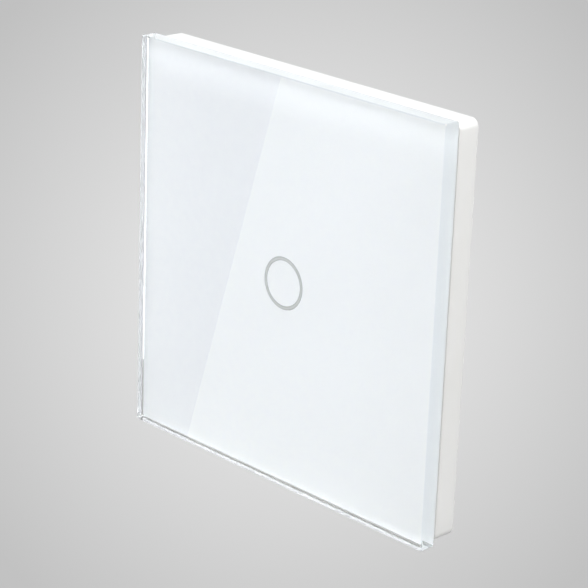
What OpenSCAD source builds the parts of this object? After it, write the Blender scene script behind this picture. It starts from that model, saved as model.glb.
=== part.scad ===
// Touch light switch: a glass touch panel that clips onto a shallow module in the wall.
// Millimetres, +X right, +Y into the wall, +Z up. The wall surface is the plane Y = 0.

/* [Glass panel] */
// Width and height of the square panel
panel_size = 86; // [80:1:100]
// Thickness of the glass
glass_t = 3.6; // [2:0.1:5]
// Corner radius of the glass
glass_corner_r = 0.4; // [0.3:0.1:4]
// Polished bevel round both faces of the glass
glass_bevel = 0.2; // [0.1:0.05:0.4]

/* [White print and touch ring] */
// Thickness of the print on the back of the glass
print_t = 0.1; // [0.05:0.05:0.2]
// Clear margin between the print and the edge of the glass
print_inset = 0.25; // [0.2:0.05:1]
// Outer diameter of the touch ring
ring_d = 11.1; // [10:0.1:13]
// Line width of the touch ring
ring_stroke = 0.8; // [0.5:0.1:1.2]

/* [Adhesive tape] */
// Thickness of the foam tape that bonds the glass to the frame
tape_t = 0.3; // [0.2:0.1:1]
// Width of the tape
tape_w = 5; // [3:0.5:6]
// Distance from the edge of the frame to the tape
tape_inset = 0.1; // [0.1:0.1:2]

/* [Panel frame] */
// How far the glass stands out past the frame on each side
glass_overhang = 0.5; // [0.3:0.1:1.5]
// Depth of the frame in front of the wall
frame_depth = 5.5; // [4.4:0.1:8]
// Thickness of the outer wall
frame_wall = 1.8; // [1.2:0.1:2.5]
// Thickness of the flange that carries the glass
flange_t = 1.2; // [1:0.1:1.5]
// Corner radius of the frame
frame_corner_r = 1.7; // [1.5:0.1:4]
// Bevel along the outer edges of the frame
frame_bevel = 0.2; // [0.1:0.1:0.6]
// Width of the pry notch in the bottom wall
notch_w = 9; // [6:1:14]
// Depth of the pry notch from the wall plane
notch_d = 1.4; // [1:0.1:2]
// Thickness of the ribs between flange and outer wall
rib_t = 1.2; // [0.8:0.1:2]
// Length of the ribs along the flange
rib_l = 3; // [2:0.5:4]
// Height of the ribs along the outer wall
rib_h = 2.4; // [1.5:0.1:2.8]
// Distance of the ribs from the middle of each side
rib_offset = 24; // [16:1:30]

/* [Clip fingers] */
// Width of a clip finger
finger_w = 8; // [5:0.5:12]
// Thickness of a clip finger
finger_t = 1.2; // [1:0.1:1.6]
// Distance between the two fingers of one side
finger_spacing = 28; // [20:1:36]
// Height of the barb along the finger
barb_h = 0.9; // [0.6:0.1:1.1]
// How far a barb catches behind the lip of the cover
barb_catch = 0.5; // [0.3:0.1:0.6]

/* [Front cover] */
// How far the cover stands out past the housing on each side
cover_margin = 1.5; // [1:0.1:1.8]
// Height of the cover
cover_h = 61.6; // [58:0.2:64]
// Thickness of the front plate of the cover
cover_t = 1.2; // [1:0.1:1.4]
// Thickness of the side walls of the cover
cover_wall = 1.4; // [1:0.1:2]
// Lip of the front plate outside the side walls
cover_lip = 0.8; // [0.7:0.1:1]
// Corner radius of the cover
cover_corner_r = 2.5; // [2:0.5:4]
// Step from the front of the frame back to the front of the cover
cover_step = 0.2; // [0.1:0.1:0.4]
// Diameter of the screw bosses
boss_d = 5.6; // [5:0.1:6]
// Diameter of the posts that carry the touch board
post_d = 4; // [3:0.1:5]
// Length of those posts
post_l = 2.6; // [2.2:0.1:3]
// Diameter of the stakes that pass through the touch board
stake_d = 1.8; // [1.4:0.1:2]
// Diameter of the melted head of a stake
stake_head_d = 3; // [2.6:0.1:3.4]
// Height of the melted head of a stake
stake_head_h = 0.6; // [0.4:0.1:1]
// Distance of the posts from the slanted edges of the touch board
post_edge = 4; // [3:0.1:5]
// Height of the posts over and under the middle
post_z = 9; // [8:0.5:11]

/* [Light guide] */
// Wall of the clear light guide ring
guide_wall = 1.2; // [0.8:0.1:1.4]
// How far the guide stands proud of the cover
guide_proud = 0.2; // [0:0.1:0.3]
// Width of the flange behind the cover
guide_flange_w = 1.6; // [1:0.1:2.4]
// Thickness of the flange behind the cover
guide_flange_t = 0.8; // [0.6:0.1:1]
// Diameter of the legs that stand on the touch board
guide_leg_d = 1.4; // [1:0.1:1.8]

/* [Touch spring] */
// Outer diameter of the touch spring
spring_d = 8; // [6:0.2:8.4]
// Wire diameter of the touch spring
spring_wire = 0.6; // [0.4:0.1:0.7]
// Number of turns
spring_turns = 3; // [2:1:3]
// Air gap left between the spring and the print
touch_gap = 0.15; // [0.1:0.05:0.3]

/* [Mounting yoke] */
// Width and height of the yoke
yoke_size = 72; // [70:1:76]
// Thickness of the yoke
yoke_t = 1.2; // [1:0.1:1.2]
// Corner radius of the yoke
yoke_corner_r = 4; // [2:0.5:8]
// Distance between the two wall-box screws
screw_spacing = 60.3; // [60:0.1:61]
// Width of the slots for the wall-box screws
slot_w = 4.2; // [3.8:0.1:4.6]
// Length of the slots from end to end
slot_l = 8; // [6:0.5:8]
// Diameter kept free round the head of a wall-box screw
screw_head_d = 9; // [7:0.5:10]

/* [Back housing] */
// Width and height of the housing across its flats
housing_size = 47; // [46.5:0.5:49]
// How far the slanted corners are cut back along each side
housing_corner = 13.5; // [13:0.5:14]
// Thickness of the housing wall
housing_wall = 1.4; // [1.2:0.1:1.6]
// Width of the ledge that carries the power board
ledge_w = 1.2; // [1:0.1:1.4]
// Free height over the tallest part on the power board
headroom = 0.6; // [0.4:0.1:4]
// Thickness of the wall round the terminal block
partition_t = 1.2; // [0.8:0.1:1.4]
// Radius of the screw ears
ear_r = 2.9; // [2.7:0.1:3.2]
// Thickness of the screw ears
ear_t = 2.4; // [2:0.1:3]
// Distance of the ear screws from the slanted walls
ear_offset = 2.6; // [2.5:0.1:3]

/* [Housing screws] */
// Diameter of the screw shank
housing_screw_d = 2.6; // [2.2:0.1:2.8]
// Diameter of the screw head
housing_head_d = 4.2; // [3.8:0.1:4.6]
// Height of the screw head
housing_head_h = 1.5; // [1.2:0.1:2]
// Depth of the screw in the boss of the cover
housing_screw_bite = 2.3; // [1.8:0.1:2.4]
// Width of the cross recess
cross_w = 0.7; // [0.5:0.1:0.9]
// Length of the cross recess
cross_l = 2.6; // [2:0.1:3]
// Depth of the cross recess
cross_d = 0.8; // [0.5:0.1:1]

/* [Circuit boards] */
// Thickness of both boards
board_t = 1.2; // [1:0.1:1.6]
// Gap between a board and the housing wall
board_gap = 0.6; // [0.4:0.1:0.8]
// Distance of the power board behind the wall plane
power_board_y = 3.2; // [2.8:0.1:5]
// Diameter of the component leads
lead_d = 0.7; // [0.5:0.1:0.9]
// Length of lead in front of the power board
lead_stub = 0.8; // [0.4:0.1:1]
// Number of pins between the boards
pin_count = 4; // [2:1:5]
// Distance between those pins
pin_pitch = 2; // [1.8:0.1:2.2]
// Width of a square pin
pin_w = 0.5; // [0.4:0.1:0.6]
// Width of the pin strip
strip_w = 2.2; // [1.8:0.1:2.4]
// Distance from the pins to the top edge of the power board
strip_edge = 2.1; // [1.8:0.1:2.3]

/* [Parts on the touch board] */
// Length, width and height of the touch chip
touch_chip_size = [4.9, 3.9, 1.5];
// Distance from the middle of the touch chip to the lower edge of the touch board
touch_chip_edge = 8.5; // [7:0.5:9.5]
// Length, width and height of an indicator lamp
led_size = [1.6, 1.2, 0.6];
// Length, width and height of a chip resistor or capacitor
chip_size = [2, 1.25, 0.6];
// Distance between neighbouring chip parts
chip_pitch = 3; // [2.5:0.1:4]
// Number of chip parts in a row
chip_count = 4; // [1:1:5]

/* [Relay] */
// Length of the relay
relay_l = 19.6; // [19:0.2:21]
// Width of the relay
relay_w = 11; // [9:0.5:12]
// Height of the relay
relay_h = 10.6; // [10.6:0.1:12]
// Wall of the relay cover
relay_wall = 0.7; // [0.5:0.1:0.8]
// Thickness of the relay base
relay_base_t = 1.4; // [1:0.1:1.6]
// Thickness of the iron parts
relay_iron_t = 1; // [0.8:0.1:1.2]
// Width of the iron parts
relay_iron_w = 6.4; // [5:0.2:7]
// Diameter of the iron core
core_d = 3; // [2.4:0.1:3.4]
// Diameter of the coil former
bobbin_d = 6.6; // [6:0.2:7]
// Height of the coil former
bobbin_h = 5; // [4:0.2:5]
// Thickness of the flanges of the coil former
bobbin_flange = 0.5; // [0.4:0.1:0.8]
// Gap between core and armature with the coil off
armature_gap = 0.6; // [0.55:0.05:0.7]
// Thickness of the armature
armature_t = 0.9; // [0.7:0.1:1]
// Length of the armature
armature_l = 11.9; // [10:0.1:12]
// Thickness of the contact blade
blade_t = 0.3; // [0.2:0.05:0.3]
// Width of the contact blade
blade_w = 4; // [3:0.2:5]
// Distance from the hinge to the contact
contact_arm = 13.1; // [12.8:0.1:13.4]
// Diameter of the contact buttons
contact_d = 2.2; // [1.8:0.1:2.4]
// Height of a contact button
contact_h = 0.8; // [0.6:0.1:0.8]
// Gap between the contacts with the coil off
contact_gap = 1.35; // [1.3:0.05:1.6]

/* [Parts on the power board] */
// Length, width and height of the film capacitor
film_size = [13, 6, 10];
// Diameter of the bulk capacitor
bulk_d = 8; // [6.3:0.1:8.5]
// Height of the bulk capacitor
bulk_h = 10; // [8:0.5:10.5]
// Diameter of the varistor disc
varistor_d = 7; // [6:0.5:8]
// Thickness of the varistor disc
varistor_t = 3.4; // [3:0.2:4.4]
// Length, width and height of the fuse
fuse_size = [8.4, 4, 7.6];
// Diameter of the choke
choke_d = 6; // [5:0.5:6.5]
// Height of the choke
choke_h = 7; // [5:0.5:9]
// Length, width and height of the bridge rectifier
bridge_size = [4.7, 3.9, 1.6];
// Length, width and height of the converter chip
converter_size = [4.9, 3.9, 1.5];
// Gap between neighbouring parts
part_gap = 1; // [0.6:0.1:1.2]

/* [Terminals] */
// Distance between neighbouring terminals
terminal_pitch = 7.4; // [7:0.1:8]
// Thickness of the outer side walls of the terminal block
block_side = 0.9; // [0.8:0.1:1.5]
// Thickness of the block face with the wire entries
block_face = 2; // [1.5:0.1:2.5]
// Thickness of the block wall towards the electronics
block_back = 0.8; // [0.6:0.1:1.2]
// Diameter of a wire entry
wire_hole_d = 3; // [2.4:0.1:3.4]
// Diameter of the funnel at the mouth of a wire entry
funnel_d = 4.6; // [4:0.1:5]
// Width of a cage
cage_w = 5.2; // [4.8:0.1:5.6]
// Length of a cage along the wire
cage_l = 6; // [5:0.2:7]
// Thickness of the side walls of a cage
cage_side = 0.8; // [0.6:0.1:1]
// Thickness of the cage floor that presses on the wire
cage_floor = 1; // [0.8:0.1:1.4]
// Thickness of the threaded wall of a cage
cage_nut = 1.5; // [1.2:0.1:2]
// Height of the wire space in an open cage
wire_space = 2.8; // [2.7:0.1:3.6]
// Thickness of a terminal bar
bar_t = 1; // [0.8:0.1:1.2]
// Width of a terminal bar
bar_w = 3.2; // [2.6:0.1:3.3]
// Gap between the terminal bar and the threaded wall of an open cage
cage_slack = 0.8; // [0.4:0.1:1.2]
// Diameter of the terminal screw thread
terminal_screw_d = 3.5; // [3:0.1:3.6]
// Rise of a cage for one turn of its screw
thread_pitch = 0.6; // [0.5:0.05:0.6]
// Number of turns from open to tight
thread_turns = 4; // [3:0.5:4]
// Diameter of the terminal screw head
terminal_head_d = 4.6; // [4.2:0.1:5]
// Height of the terminal screw head
terminal_head_h = 1.4; // [1.2:0.1:2]
// Width of the screwdriver slot
driver_slot_w = 0.8; // [0.6:0.1:1]
// Depth of the screwdriver slot
driver_slot_d = 0.8; // [0.5:0.1:1]
// Thickness of the web under the screw head
web_t = 0.5; // [0.4:0.1:1]

/* [Clearances] */
// Gap between parts that move past each other or pull apart
slide_gap = 0.3; // [0.2:0.05:0.4]
// Radial gap of a pin or a screw in its hole
pin_gap = 0.05; // [0.02:0.01:0.1]
// Gap between fixed parts that are put together
fit_gap = 0.15; // [0.1:0.05:0.2]

/* [Hidden] */
$fn = 64;
through = 1;
root2 = sqrt(2);
terminals = [-1, 0, 1];
corners = [[1, 1], [-1, 1], [-1, -1], [1, -1]];

// Planes from the glass to the back of the housing
y_frame = -frame_depth;
y_flange_back = y_frame + flange_t;
y_tape = y_frame - tape_t;
y_print = y_tape - print_t;
y_glass = y_print - glass_t;
y_cover = y_frame + cover_step;
y_cover_back = y_cover + cover_t;
y_touch = y_cover_back + post_l;
y_touch_back = y_touch + board_t;
y_power = power_board_y;
y_power_back = y_power + board_t;
tallest = max(relay_h, film_size.z, bulk_h, varistor_d + lead_d, fuse_size.z, choke_h);
y_cavity = y_power_back + tallest + headroom;
y_housing = y_cavity + housing_wall;

// The eight-sided outline of the housing, drawn in by an inset
housing_reach = housing_size - housing_corner;
function outline_half(inset) = housing_size / 2 - inset;
function outline_reach(inset) = housing_reach - inset * root2;
function outline(inset) = let (
    a = outline_half(inset),
    b = outline_reach(inset) - a
) [[a, -b], [a, b], [b, a], [-b, a], [-a, b], [-a, -b], [-b, -a], [b, -a]];
board_inset = housing_wall + board_gap;
cavity_inset = housing_wall + ledge_w;
ear_at = housing_reach / 2 + ear_offset / root2;
post_at = [outline_reach(board_inset) - post_edge * root2 - post_z, post_z];

// Cover, frame opening and clip fingers
cover_w = housing_size + 2 * cover_margin;
plate_w = cover_w + 2 * cover_lip;
plate_h = cover_h + 2 * cover_lip;
frame_size = panel_size - 2 * glass_overhang;
frame_inner = frame_size - 2 * frame_wall;
frame_inner_r = max(frame_corner_r - frame_wall, 0.5);
opening_w = plate_w + 2 * slide_gap;
opening_h = plate_h + 2 * slide_gap;
relief_w = screw_spacing + screw_head_d;
barb_reach = barb_catch + slide_gap;
finger_end = -yoke_t - slide_gap;
barb_front = y_cover_back + slide_gap;

// Light guide and touch spring
guide_r = ring_d / 2 + fit_gap;
guide_inner_r = guide_r - guide_wall;
guide_flange_r = guide_r + guide_flange_w;
guide_leg_at = guide_flange_r - guide_leg_d / 2 - fit_gap;
led_at = guide_r - guide_wall / 2;
rings_per_turn = 8;
spring_sides = 6;
spring_r = (spring_d - spring_wire) / 2;
spring_low = y_touch - spring_wire / 2;
spring_high = y_tape + touch_gap + spring_wire / 2;
spring_steps = spring_turns * rings_per_turn;

// Terminal block and clamp, seen from the board to the screw head
block_w = len(terminals) * terminal_pitch + 2 * block_side;
cell_w = cage_w + 2 * slide_gap;
clamp_travel = thread_pitch * thread_turns;
z_block = -housing_size / 2;
z_cage = z_block + block_face;
z_leg = z_cage + cage_l + 3 * slide_gap;
z_cell = z_leg + bar_t + slide_gap;
z_block_top = z_cell + block_back;
z_screw = z_cage + cage_l / 2;
y_cage = y_power_back + 2 * slide_gap;
y_cage_floor = y_cage + cage_floor;
y_bar = y_cage_floor + wire_space;
y_bar_back = y_bar + bar_t;
y_nut = y_bar_back + cage_slack;
y_nut_back = y_nut + cage_nut;
y_web = y_nut_back + clamp_travel + slide_gap;
y_head = y_web + web_t;
y_block = y_head + terminal_head_h + slide_gap;
y_wire = y_cage_floor + wire_space / 2;

// Rows of parts on the power board, from the terminal block upwards
z_row1 = z_block_top + slide_gap + partition_t + part_gap;
z_row2 = z_row1 + max(relay_w, film_size.y) + part_gap;
cavity_half = outline_half(cavity_inset);
cavity_reach = outline_reach(cavity_inset);
relay_x = -min(cavity_half, cavity_reach + z_row1) + part_gap;
film_x = relay_x + relay_l + part_gap;
varistor_x = relay_x + 2 * part_gap;
fuse_x = varistor_x + varistor_d + part_gap;
bulk_x = fuse_x + fuse_size.x + part_gap + bulk_d / 2;
strip_l = pin_count * pin_pitch;
z_strip = outline_half(board_inset) - strip_edge;
film_z = z_row1 + film_size.y / 2;
varistor_z = z_row2 + varistor_t / 2;
fuse_z = z_row2 + fuse_size.y / 2;
bulk_z = z_row2 + bulk_d / 2;
choke_z = z_row1 + film_size.y + part_gap + choke_d / 2;
choke_x = min(cavity_half, cavity_reach - choke_z - choke_d / 2) - part_gap - choke_d / 2;
bridge_at = [relay_x + relay_l / 2, z_row1 + relay_w / 2];

// Relay, measured from its lower left corner on the board
relay_mid = relay_w / 2;
relay_fit = relay_wall + fit_gap;
hinge_x = relay_fit + relay_iron_t;
coil_low = relay_base_t + relay_iron_t;
core_x = hinge_x + relay_iron_t + bobbin_d / 2;
core_top = coil_low + bobbin_h + fit_gap;
armature_y = core_top + armature_gap;
blade_y = armature_y + armature_t;
contact_x = hinge_x + contact_arm;
contact_y = blade_y - contact_h;
fixed_y = contact_y - contact_gap;
fixed_post_x = contact_x + contact_d / 2 + 3 * slide_gap;

// Lead places on the power board, each as across and up
lead_spread = 3;
relay_leads = [
    [relay_x + core_x, z_row1 + relay_fit + lead_d],
    [relay_x + core_x, z_row1 + relay_w - relay_fit - lead_d],
    [relay_x + hinge_x + relay_iron_t / 2, z_row1 + relay_mid]
];
fixed_lead = [relay_x + fixed_post_x + relay_iron_t / 2, z_row1 + relay_mid];
film_leads = [for (s = [-1, 1]) [film_x + film_size.x / 2 + s * (film_size.x / 2 - lead_spread / 2), film_z]];
bulk_leads = [for (s = [-1, 1]) [bulk_x + s * lead_spread / 2, bulk_z]];
varistor_leads = [for (s = [-1, 1]) [varistor_x + varistor_d / 2 + s * lead_spread / 2, varistor_z]];
fuse_leads = [for (s = [-1, 1]) [fuse_x + fuse_size.x / 2 + s * lead_spread / 2, fuse_z]];
choke_leads = [for (s = [-1, 1]) [choke_x + s * lead_spread / 2, choke_z]];
power_leads = concat(
    relay_leads, [fixed_lead], film_leads, bulk_leads, varistor_leads, fuse_leads, choke_leads
);
pin_places = [for (i = [0:pin_count - 1]) [(i - (pin_count - 1) / 2) * pin_pitch, z_strip]];

// Shared shapes

// Extrudes a flat shape, drawn across (X) and up (Z), from one depth to another
module slab(y0, y1) {
    translate([0, y1, 0]) rotate([90, 0, 0]) linear_extrude(y1 - y0) children();
}

// Rectangle with round corners
module rounded_rect(w, h, r) {
    square([w - 2 * r, h], center = true);
    square([w, h - 2 * r], center = true);
    for (c = corners) translate([c.x * (w / 2 - r), c.y * (h / 2 - r)]) circle(r);
}

// Square plate with round corners and a bevel along both faces
module bevelled_square(size, r, y0, y1, bevel) {
    half = size / 2;
    flat = size - 2 * r;
    section = [
        [-half + bevel, y0], [half - bevel, y0], [half, y0 + bevel], [half, y1 - bevel],
        [half - bevel, y1], [-half + bevel, y1], [-half, y1 - bevel], [-half, y0 + bevel]
    ];
    corner = [[0, y0], [r - bevel, y0], [r, y0 + bevel], [r, y1 - bevel], [r - bevel, y1], [0, y1]];
    linear_extrude(flat, center = true) polygon(section);
    rotate([0, 90, 0]) linear_extrude(flat, center = true) polygon(section);
    for (k = [0:3])
        rotate([0, 90 * k, 0]) translate([half - r, 0, half - r]) rotate([-90, 0, 0])
            rotate_extrude(angle = -90) polygon(corner);
}

// Straight leads through the power board, from their stubs up to a height over its back
module leads(places, height) {
    slab(y_power - lead_stub, y_power_back + height)
        for (p = places) translate(p) circle(d = lead_d);
}

// Chip with bent leads on a board at Y = 0 that faces +Y
module leaded_chip(size, lead_count, lead_pitch) {
    foot = [lead_pitch * 0.35, 0.2, 1];
    lift = 0.1;
    slab(lift, size.z) square([size.x, size.y], center = true);
    for (i = [0:lead_count - 1], s = [-1, 1])
        translate([(i - (lead_count - 1) / 2) * lead_pitch - foot.x / 2, 0, 0]) {
            translate([0, 0, s * (size.y / 2 + foot.z) - (s > 0 ? foot.z / 2 : 0)])
                cube([foot.x, foot.y, foot.z / 2]);
            translate([0, 0, s * (size.y / 2 + foot.z / 2) - foot.y / 2])
                cube([foot.x, size.z / 2, foot.y]);
            translate([0, size.z / 2 - foot.y, s * size.y / 2 - (s > 0 ? foot.y : foot.z / 2)])
                cube([foot.x, foot.y, foot.z / 2 + foot.y]);
        }
}

// Panel

module glass_panel() {
    color("lightcyan", 0.5) bevelled_square(panel_size, glass_corner_r, y_glass, y_print, glass_bevel);
}

module enamel_backing() {
    size = panel_size - 2 * print_inset;
    corner_r = max(glass_corner_r - print_inset, print_t);
    color("white") slab(y_print, y_tape) {
        difference() {
            rounded_rect(size, size, corner_r);
            circle(d = ring_d);
        }
        circle(d = ring_d - 2 * ring_stroke);
    }
}

module touch_ring() {
    color("darkgray") slab(y_print, y_tape) difference() {
        circle(d = ring_d - 2 * pin_gap);
        circle(d = ring_d - 2 * ring_stroke + 2 * pin_gap);
    }
}

module adhesive_tape() {
    outer = frame_size - 2 * tape_inset;
    inner = outer - 2 * tape_w;
    color("dimgray") slab(y_tape, y_frame) difference() {
        rounded_rect(outer, outer, max(frame_corner_r - tape_inset, tape_t));
        square([inner, inner], center = true);
    }
}

module panel_frame() {
    color("whitesmoke") {
        difference() {
            bevelled_square(frame_size, frame_corner_r, y_frame, 0, frame_bevel);
            slab(y_flange_back, through) rounded_rect(frame_inner, frame_inner, frame_inner_r);
            slab(y_frame - through, y_flange_back + through) {
                rounded_rect(opening_w, opening_h, cover_corner_r);
                square([relief_w, screw_head_d], center = true);
            }
            translate([-notch_w / 2, -notch_d, -frame_size / 2 - through])
                cube([notch_w, notch_d + through, frame_wall + 2 * through]);
        }
        for (k = [0:3], x = [-rib_offset, rib_offset]) rotate([0, 90 * k, 0]) frame_rib(x);
        for (x = [-finger_spacing, finger_spacing] / 2, s = [-1, 1])
            mirror([0, 0, s < 0 ? 1 : 0]) clip_finger(x);
    }
}

// Corner rib between the flange and the outer wall
module frame_rib(x) {
    sink = frame_wall / 4;
    rise = rib_h + sink;
    reach = rib_l + sink;
    translate([x - rib_t / 2, y_flange_back - sink, frame_inner / 2 + sink])
        rotate([90, 0, 90]) linear_extrude(rib_t)
            polygon([[0, 0], [rise, 0], [rise, -sink], [sink, -reach], [0, -reach]]);
}

// Clip finger at the top edge of the frame opening, with a barb that catches behind the cover's lip
module clip_finger(x) {
    edge = opening_h / 2;
    translate([x - finger_w / 2, y_flange_back - flange_t / 2, edge])
        cube([finger_w, finger_end - y_flange_back + flange_t / 2, finger_t]);
    translate([x - finger_w / 2, barb_front, edge - barb_reach])
        cube([finger_w, barb_h, barb_reach + finger_t / 2]);
}

// Module front

module mounting_yoke() {
    color("silver") slab(-yoke_t, 0) difference() {
        rounded_rect(yoke_size, yoke_size, yoke_corner_r);
        polygon(outline(housing_wall));
        for (s = [-1, 1]) translate([s * screw_spacing / 2, 0]) slot();
        for (c = corners) translate(c * ear_at) circle(d = housing_screw_d + 2 * fit_gap);
    }
}

// Slot for a wall-box screw, long side across
module slot() {
    straight = slot_l - slot_w;
    square([straight, slot_w], center = true);
    for (s = [-1, 1]) translate([s * straight / 2, 0]) circle(d = slot_w);
}

module front_cover() {
    inner_w = cover_w - 2 * cover_wall;
    inner_h = cover_h - 2 * cover_wall;
    color("white") difference() {
        union() {
            slab(y_cover, y_cover_back) rounded_rect(plate_w, plate_h, cover_corner_r);
            slab(y_cover_back, -yoke_t) difference() {
                rounded_rect(cover_w, cover_h, cover_corner_r);
                rounded_rect(inner_w, inner_h, cover_corner_r - cover_wall / 2);
            }
            slab(y_cover_back, -yoke_t) for (c = corners) translate(c * ear_at) circle(d = boss_d);
            for (c = corners) translate([c.x * post_at.x, 0, c.y * post_at.y]) board_post();
        }
        slab(y_cover - through, y_cover_back + through) circle(guide_r + fit_gap);
        slab(-yoke_t - housing_screw_bite - slide_gap, through)
            for (c = corners) translate(c * ear_at) circle(d = housing_screw_d + 2 * pin_gap);
    }
}

// Post under the cover with a melted stake through the touch board
module board_post() {
    slab(y_cover_back, y_touch) circle(d = post_d);
    slab(y_touch, y_touch_back) circle(d = stake_d);
    slab(y_touch_back, y_touch_back + stake_head_h) circle(d = stake_head_d);
}

module light_guide() {
    color("lightcyan", 0.6) {
        slab(y_cover - guide_proud, y_cover_back + guide_flange_t) difference() {
            circle(guide_r);
            circle(guide_inner_r);
        }
        slab(y_cover_back, y_cover_back + guide_flange_t) difference() {
            circle(guide_flange_r);
            circle(guide_inner_r);
        }
        slab(y_cover_back, y_touch)
            for (s = [-1, 1]) translate([0, s * guide_leg_at]) circle(d = guide_leg_d);
    }
}

// Path of the spring wire: a level straight end, the helix, and a level straight end
function spring_angle(i) = 360 * i / rings_per_turn;
function spring_point(i) = let (a = spring_angle(i))
    [spring_r * cos(a), spring_low + (spring_high - spring_low) * i / spring_steps, spring_r * sin(a)];
function spring_side(i) = [-sin(spring_angle(i)), 0, cos(spring_angle(i))];
spring_path = concat(
    [spring_point(0) - spring_wire * spring_side(0)],
    [for (i = [0:spring_steps]) spring_point(i)],
    [spring_point(spring_steps) + spring_wire * spring_side(spring_steps)]
);

// Six-sided ring of wire round point k of the path, square to the level direction of the wire
function spring_ring(k) = let (
    i = min(max(k - 1, 0), spring_steps),
    out = [cos(spring_angle(i)), 0, sin(spring_angle(i))]
) [for (s = [0:spring_sides - 1]) let (b = 360 * s / spring_sides)
    spring_path[k] + spring_wire / 2 * (cos(b) * out + sin(b) * [0, 1, 0])];

// Least gap between neighbouring turns, measured on the points of the path
spring_gap = min([
    for (i = [0:len(spring_path) - 1], j = [i + rings_per_turn / 2:1:len(spring_path) - 1])
        norm(spring_path[i] - spring_path[j])
]) - spring_wire;

module touch_spring() {
    rings = len(spring_path);
    points = [for (k = [0:rings - 1]) each spring_ring(k)];
    side_faces = [
        for (k = [0:rings - 2], s = [0:spring_sides - 1]) let (
            a = k * spring_sides + s,
            b = k * spring_sides + (s + 1) % spring_sides
        ) each [[a, b, a + spring_sides], [b, b + spring_sides, a + spring_sides]]
    ];
    start_cap = [for (s = [1:spring_sides - 2]) [0, s + 1, s]];
    end_cap = [for (s = [1:spring_sides - 2]) (rings - 1) * spring_sides * [1, 1, 1] + [0, s, s + 1]];
    echo(str("touch_spring least gap between turns: ", spring_gap, " mm"));
    color("goldenrod") polyhedron(points, concat(side_faces, start_cap, end_cap));
}

module touch_board() {
    color("darkgreen") slab(y_touch, y_touch_back) difference() {
        polygon(outline(board_inset));
        for (c = corners) translate([c.x * post_at.x, c.y * post_at.y]) circle(d = stake_d + 2 * pin_gap);
        for (p = pin_places) translate(p) circle(d = pin_w * root2 + 2 * fit_gap);
    }
}

module touch_chip() {
    pitch = touch_chip_size.x / 4;
    color("black") translate([0, y_touch, touch_chip_edge - outline_half(board_inset)])
        mirror([0, 1, 0]) leaded_chip(touch_chip_size, 4, pitch);
}

module indicator_leds() {
    lens_d = led_size.y - 2 * fit_gap;
    color("lightyellow") for (s = [-1, 1]) {
        slab(y_touch - led_size.z / 2, y_touch) translate([s * led_at, 0])
            square([led_size.y, led_size.x], center = true);
        slab(y_touch - led_size.z, y_touch - led_size.z / 2) translate([s * led_at, 0]) circle(d = lens_d);
    }
}

module chip_parts() {
    color("tan") slab(y_touch - chip_size.z, y_touch)
        for (i = [0:chip_count - 1], s = [-1, 1])
            translate([(i - (chip_count - 1) / 2) * chip_pitch, s * post_at.y + post_d])
                square([chip_size.y, chip_size.x], center = true);
}

module header_strip() {
    color("black") slab(y_touch_back, y_power) difference() {
        translate([0, z_strip]) square([strip_l, strip_w], center = true);
        for (p = pin_places) translate(p) square(pin_w + 2 * pin_gap, center = true);
    }
}

module header_pins() {
    color("gold") slab(y_touch - lead_stub, y_power_back + lead_stub)
        for (p = pin_places) translate(p) square(pin_w, center = true);
}

// Module back

module power_board() {
    color("darkgreen") slab(y_power, y_power_back) difference() {
        polygon(outline(board_inset));
        for (p = power_leads) translate(p) circle(d = lead_d + 2 * fit_gap);
        for (p = pin_places) translate(p) circle(d = pin_w * root2 + 2 * fit_gap);
        for (t = terminals) translate([t * terminal_pitch, z_leg + bar_t / 2])
            square([bar_w + 2 * fit_gap, bar_t + 2 * fit_gap], center = true);
    }
}

module in_relay() {
    translate([relay_x, y_power_back, z_row1]) children();
}

module relay_base() {
    color("dimgray") difference() {
        in_relay() translate([relay_fit, 0, relay_fit])
            cube([relay_l - 2 * relay_fit, relay_base_t, relay_w - 2 * relay_fit]);
        slab(y_power_back - through, y_power_back + relay_base_t + through)
            for (p = concat(relay_leads, [fixed_lead])) translate(p) circle(d = lead_d + 2 * pin_gap);
    }
}

module relay_cover() {
    color("black") in_relay() difference() {
        cube([relay_l, relay_h, relay_w]);
        translate([relay_wall, -through, relay_wall])
            cube([relay_l - 2 * relay_wall, relay_h - relay_wall + through, relay_w - 2 * relay_wall]);
    }
}

module relay_yoke() {
    leg_top = armature_y - slide_gap / 2;
    low = relay_mid - relay_iron_w / 2;
    color("gray") in_relay() {
        translate([hinge_x, relay_base_t, low])
            cube([core_x + core_d / 2 - hinge_x, relay_iron_t, relay_iron_w]);
        translate([hinge_x, relay_base_t, low]) cube([relay_iron_t, leg_top - relay_base_t, relay_iron_w]);
        translate([core_x, relay_base_t, relay_mid]) rotate([-90, 0, 0])
            cylinder(d = core_d, h = core_top - relay_base_t);
    }
}

module relay_bobbin() {
    bore_r = core_d / 2 + pin_gap;
    tube_r = bore_r + bobbin_flange;
    color("ivory") in_relay() translate([core_x, coil_low, relay_mid]) rotate([-90, 0, 0])
        rotate_extrude() polygon([
            [bore_r, 0], [bobbin_d / 2 - fit_gap, 0], [bobbin_d / 2 - fit_gap, bobbin_flange],
            [tube_r, bobbin_flange], [tube_r, bobbin_h - bobbin_flange],
            [bobbin_d / 2 - fit_gap, bobbin_h - bobbin_flange], [bobbin_d / 2 - fit_gap, bobbin_h],
            [bore_r, bobbin_h]
        ]);
}

module relay_winding() {
    inner_r = core_d / 2 + bobbin_flange + 2 * pin_gap;
    color("peru") in_relay() translate([core_x, coil_low + bobbin_flange + pin_gap, relay_mid])
        rotate([-90, 0, 0]) difference() {
            cylinder(d = bobbin_d - 4 * fit_gap, h = bobbin_h - 2 * bobbin_flange - 2 * pin_gap);
            translate([0, 0, -through]) cylinder(r = inner_r, h = bobbin_h + 2 * through);
        }
}

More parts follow.
